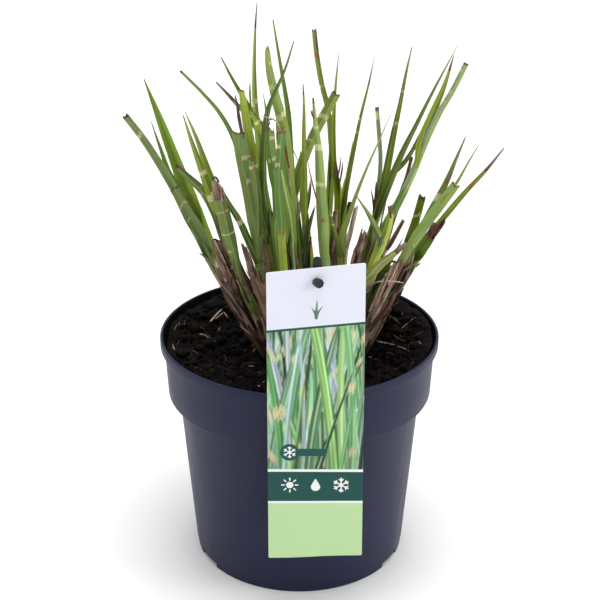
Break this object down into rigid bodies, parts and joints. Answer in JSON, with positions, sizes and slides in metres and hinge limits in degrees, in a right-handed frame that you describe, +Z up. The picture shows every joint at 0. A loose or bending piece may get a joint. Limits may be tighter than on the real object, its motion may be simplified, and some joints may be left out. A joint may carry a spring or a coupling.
{
  "type": "potted miscanthus grass clump",
  "caption": "Round nursery pot of soil holding an upright clump of banded ornamental grass with trimmed leaves and dry cut stems, and a plain care card on a dark stake over its rim.",
  "frame": {"origin": "centre of the pot's flat underside, on the pot's axis", "axes": "+Z up along the pot's axis; -Y towards the side that carries the card; +X to the right seen from the card side"},
  "size_m": [0.253, 0.2088, 0.3798],
  "materials": {
    "pot": "satin moulded polypropylene, anthracite blue-grey",
    "soil": "damp fibrous peat and composted bark, nearly black",
    "card": "printed plastic card, satin",
    "card_stake": "black moulded plastic",
    "leaf": "living grass leaf, satin, cross-banded in cream",
    "dry_stem": "dry grass sheath, matte and fibrous"
  },
  "bodies": {
    "root": {"card": "card", "card_stake": "card_stake", "cut_stem_01": "dry_stem", "cut_stem_02": "dry_stem", "cut_stem_03": "dry_stem", "cut_stem_04": "dry_stem", "cut_stem_05": "dry_stem", "cut_stem_06": "dry_stem", "cut_stem_07": "dry_stem", "cut_stem_08": "dry_stem", "cut_stem_09": "dry_stem", "cut_stem_10": "dry_stem", "cut_stem_11": "dry_stem", "cut_stem_12": "dry_stem", "cut_stem_13": "dry_stem", "cut_stem_14": "dry_stem", "cut_stem_15": "dry_stem", "cut_stem_16": "dry_stem", "cut_stem_17": "dry_stem", "cut_stem_18": "dry_stem", "pot": "pot", "shoot_01": "leaf", "shoot_02": "leaf", "shoot_03": "leaf", "shoot_04": "leaf", "shoot_05": "leaf", "shoot_06": "leaf", "shoot_07": "leaf", "shoot_08": "leaf", "shoot_09": "leaf", "shoot_10": "leaf", "shoot_11": "leaf", "shoot_12": "leaf", "shoot_13": "leaf", "shoot_14": "leaf", "shoot_15": "leaf", "shoot_16": "leaf", "shoot_17": "leaf", "shoot_18": "leaf", "shoot_19": "leaf", "shoot_20": "leaf", "shoot_21": "leaf", "shoot_22": "leaf", "shoot_23": "leaf", "shoot_24": "leaf", "shoot_25": "leaf", "shoot_26": "leaf", "shoot_27": "leaf", "shoot_28": "leaf", "shoot_29": "leaf", "shoot_30": "leaf", "shoot_31": "leaf", "shoot_32": "leaf", "shoot_33": "leaf", "shoot_34": "leaf", "shoot_35": "leaf", "shoot_36": "leaf", "shoot_37": "leaf", "shoot_38": "leaf", "soil": "soil"}
  },
  "joints": []
}
